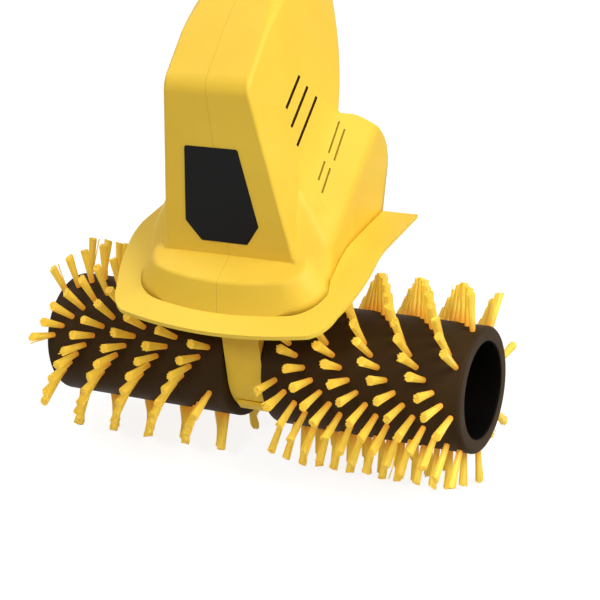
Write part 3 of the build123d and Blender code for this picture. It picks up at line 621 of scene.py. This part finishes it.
def nylon(name):
    """Nylon filament: amber, painted darker towards the root for the shade between the tufts, paler to the
    tip, each filament with a tone of its own, and a weak painted glow for light through the filaments."""
    material, tree, shader = new_material(name)
    along = ramped(tree, mark(tree, "along"), nylon_root_painted_shade, nylon_tip, nylon_tip_start)
    shade = ramped(tree, mark(tree, "tone"), nylon_dull, white)
    colour = mixed(tree, 1.0, along, shade, "MULTIPLY")
    gloss = ranged(tree, noise(tree, fibre_scale), *nylon_roughness)
    feed(tree, shader, Base_Color=colour, Emission_Color=colour, Emission_Strength=nylon_painted_glow,
         Specular_IOR_Level=nylon_sheen, Roughness=gloss)
    return material


def all_materials():
    """Each of the record's material slots, with its finish."""
    found = {name: moulded(name, *finish) for name, finish in moulded_finishes.items()}
    found.update({name: metal(name, *finish) for name, finish in metal_finishes.items()})
    found["bristle_yellow"] = nylon("bristle_yellow")
    blended_corners(found["housing_yellow"])
    seam_line(found["housing_yellow"], yellow_painted_shade_and_seam)
    return found


# Stage


def seen_share(tree):
    """1 for rays from the camera, mirrors and glass, 0 for the light that falls on the object."""
    path = add(tree, "LightPath").outputs
    seen = worked(tree, "MAXIMUM", path["Is Camera Ray"], path["Is Glossy Ray"])
    return worked(tree, "MAXIMUM", seen, path["Is Transmission Ray"])


def floor():
    """Pale floor at the tips of the lowest tufts, white to the eye where no shadow falls."""
    corners = floor_half * np.array([(-1, -1, 0), (1, -1, 0), (1, 1, 0), (-1, 1, 0)])
    corners[:, 2] = cad_low.z
    mesh = bpy.data.meshes.new("floor")
    mesh.from_pydata(corners.tolist(), [], [(0, 1, 2, 3)])
    material = bpy.data.materials.new("floor_white")
    material.use_nodes = True
    tree = material.node_tree
    tree.nodes.clear()
    plain = add(tree, "BsdfDiffuse", Color=(*floor_tone, 1))
    shaded = add(tree, "BsdfDiffuse", Color=(*floor_shadow_tone, 1))
    glow = add(tree, "Emission", Color=(*white, 1), Strength=floor_glow)
    seen = add(tree, "AddShader")
    tree.links.new(shaded.outputs[0], seen.inputs[0])
    tree.links.new(glow.outputs[0], seen.inputs[1])
    choice = add(tree, "MixShader", Fac=seen_share(tree))
    tree.links.new(plain.outputs[0], choice.inputs[1])
    tree.links.new(seen.outputs[0], choice.inputs[2])
    add(tree, "OutputMaterial", Surface=choice.outputs[0])
    mesh.materials.append(material)
    put("floor", mesh)


def sky():
    """White to the eye, and an even fill for the object."""
    world = bpy.data.worlds.new("studio")
    bpy.context.scene.world = world
    world.use_nodes = True
    tree = world.node_tree
    tree.nodes.clear()
    strength = mapped(tree, seen_share(tree), 0.0, 1.0, sky_fill, 1.0)
    back = add(tree, "Background", Color=(*white, 1), Strength=strength)
    add(tree, "OutputWorld", Surface=back.outputs[0])


def lamp(name, way, distance, size, power):
    """Square soft box that looks at the middle of the part from a given way."""
    light = bpy.data.lights.new(name, "AREA")
    light.shape = "SQUARE"
    light.size = size
    light.energy = power
    way = Vector(way).normalized()
    place = (cad_low + cad_high) / 2 + way * distance
    turned = way.to_track_quat("Z", "Y").to_matrix()
    put(name, light).matrix_world = Matrix.Translation(place) @ turned.to_4x4()


def camera():
    """Camera at the photograph's place: turned to the right, raised, then rolled."""
    lens = bpy.data.cameras.new("camera")
    lens.sensor_width = view_sensor
    lens.lens = view_lens
    back = Vector((sin(view_turn) * cos(view_rise), -cos(view_turn) * cos(view_rise), sin(view_rise)))
    right = Vector((cos(view_turn), sin(view_turn), 0.0))
    up = back.cross(right)
    roll = Matrix.Rotation(view_roll, 3, back)
    right = roll @ right
    up = roll @ up
    place = axle + right * view_place.x + up * view_place.y + back * view_place.z
    turned = Matrix((right, up, back)).transposed()
    holder = put("camera", lens)
    holder.matrix_world = Matrix.Translation(place) @ turned.to_4x4()
    bpy.context.scene.camera = holder


# The object

materials = all_materials()
for part in frame["record"]["subparts"]:
    node = frame["nodes"][part["node"]]
    node.data.materials.clear()
    node.data.materials.append(materials[part["material_slot"]])

for side in sides:
    roller_pieces(side)
    tuft_pieces(side)
    softened(f"housing_shell_{side}", f"housing_{side}", housing_edge, "housing_yellow")
    softened(f"leg_half_{side}", f"gearcase_{side}", leg_edge, "leg_yellow")
softened("hood_guard", "brush_guard", guard_edge, "guard_yellow")
softened("seam_clip", "leg_clip", clip_edge, "leg_yellow")
softened("front_plate", "label_plate", label_edge, "label_black")

floor()
sky()
lamp("key", way=(0.75, -0.13, 0.65), distance=2.0, size=1.2, power=39.0)
lamp("left_fill", way=(-0.72, 0.05, 0.69), distance=2.4, size=1.8, power=22.0)
lamp("front_fill", way=(0.05, -0.77, 0.64), distance=2.4, size=0.5, power=14.0)
camera()
bpy.context.scene.view_settings.view_transform = "Standard"
